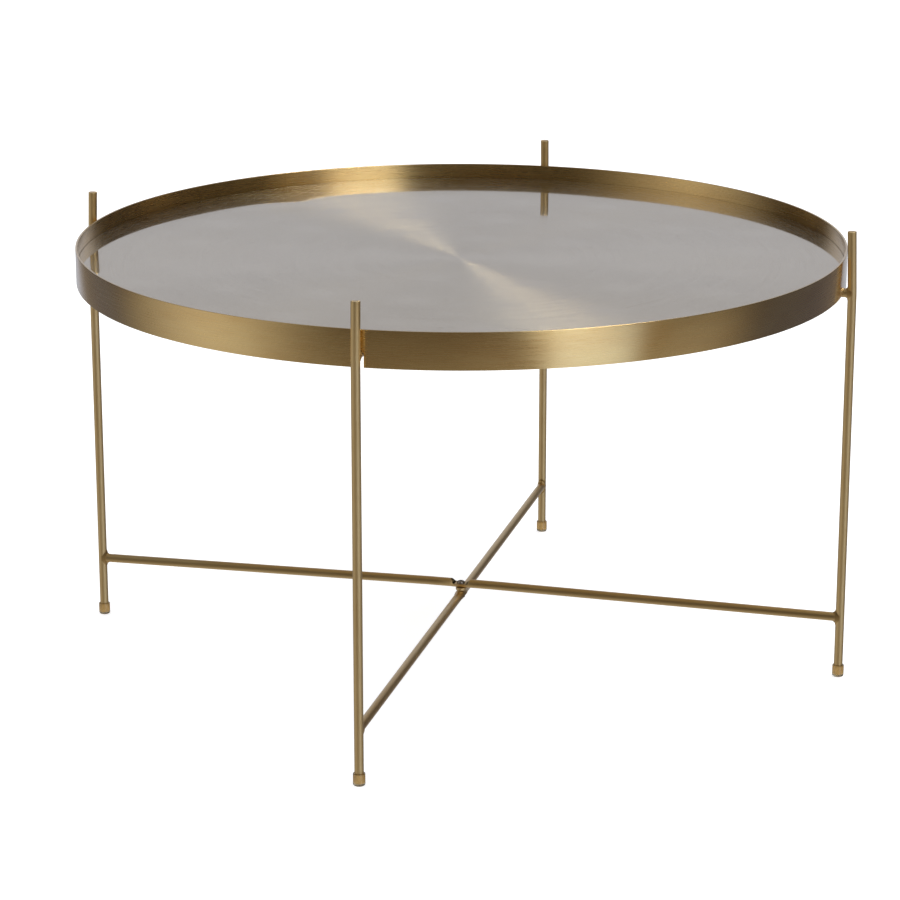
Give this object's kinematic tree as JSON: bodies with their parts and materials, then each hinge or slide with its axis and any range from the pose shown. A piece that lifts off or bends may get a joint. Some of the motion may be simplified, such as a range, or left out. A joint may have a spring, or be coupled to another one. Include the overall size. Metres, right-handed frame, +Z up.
{
  "type": "tray table",
  "caption": "Low round table: a shallow rimmed metal tray that lifts off a crossed frame of slim rod legs joined by crossbars.",
  "frame": {"origin": "on the floor under the middle of the tray", "axes": "+Z up; the upper crossbar runs along X and the lower crossbar along Y"},
  "size_m": [0.7258, 0.7258, 0.4181],
  "materials": {
    "tray_band_brass": "brushed along the strip, clear lacquer",
    "tray_floor_brass": "brushed in circles, clear lacquer",
    "rod_brass": "brushed along the rod, clear lacquer",
    "weld_brass": "dressed by hand, clear lacquer",
    "zinc_steel": "dulled zinc plate",
    "clear_plastic": "clear moulded vinyl"
  },
  "bodies": {
    "frame": {"leg_rod_right": "rod_brass", "support_peg_right": "rod_brass", "peg_weld_right": "weld_brass", "bar_weld_right": "weld_brass", "foot_cap_right": "clear_plastic", "leg_rod_back": "rod_brass", "support_peg_back": "rod_brass", "peg_weld_back": "weld_brass", "bar_weld_back": "weld_brass", "foot_cap_back": "clear_plastic", "leg_rod_left": "rod_brass", "support_peg_left": "rod_brass", "peg_weld_left": "weld_brass", "bar_weld_left": "weld_brass", "foot_cap_left": "clear_plastic", "leg_rod_front": "rod_brass", "support_peg_front": "rod_brass", "peg_weld_front": "weld_brass", "bar_weld_front": "weld_brass", "foot_cap_front": "clear_plastic", "crossbar_upper": "rod_brass", "crossbar_lower": "rod_brass", "cross_screw": "zinc_steel", "cross_spacer": "rod_brass", "cross_nut": "zinc_steel"},
    "tray": {"tray_rim_band": "tray_band_brass", "tray_floor": "tray_floor_brass", "tray_solder_fillet": "weld_brass"}
  },
  "joints": [
    {"name": "tray_lift", "type": "slide", "parent": "frame", "child": "tray", "axis": [0, 0, 1], "range_m": [0, 0.09]}
  ]
}
